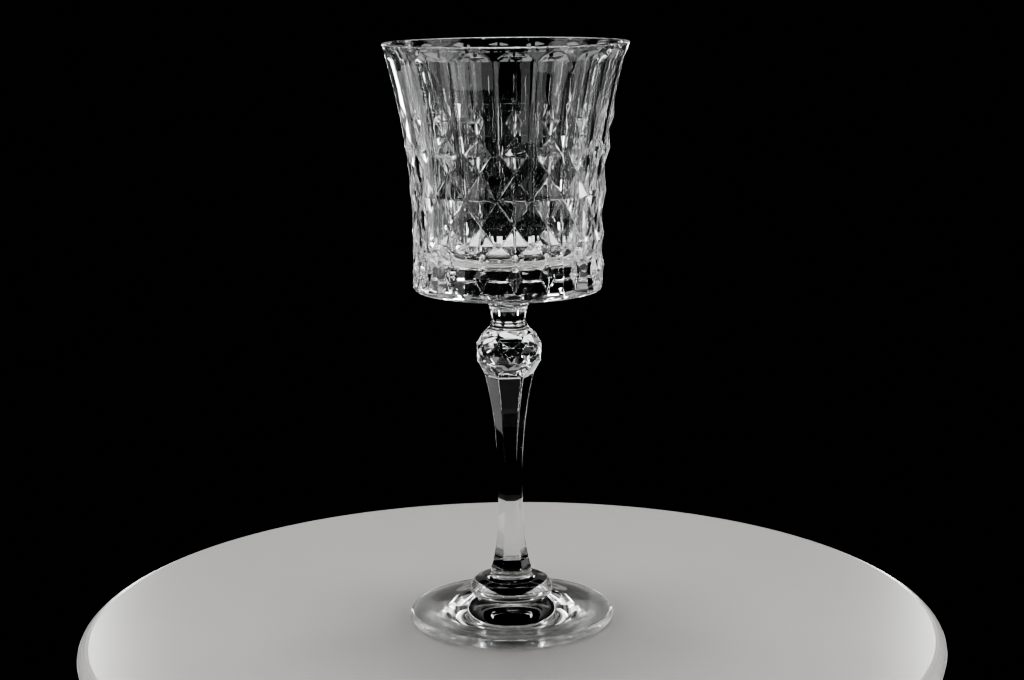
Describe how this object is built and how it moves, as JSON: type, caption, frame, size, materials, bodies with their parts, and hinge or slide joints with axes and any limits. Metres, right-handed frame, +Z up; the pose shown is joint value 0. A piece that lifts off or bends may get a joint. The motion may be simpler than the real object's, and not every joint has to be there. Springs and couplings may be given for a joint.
{
  "type": "wine glass",
  "caption": "Stemmed wine glass with a flared diamond-cut bowl, a faceted knop and stem, a round collar and button, and a wide flared foot.",
  "frame": {"origin": "centre of the foot's underside, on the plane that the glass stands on", "axes": "+Z up along the stem's axis; the columns of diamonds are turned a few degrees about it from -Y towards +X"},
  "size_m": [0.0832, 0.0832, 0.2],
  "materials": {
    "crystal": "clear colourless crystal, fire-polished",
    "cut_crystal": "clear colourless crystal, pressed with sharp polished facets"
  },
  "bodies": {
    "root": {"foot": "crystal", "button": "crystal", "collar": "crystal", "stem": "crystal", "knop": "cut_crystal", "neck": "crystal", "bowl": "cut_crystal"}
  },
  "joints": []
}
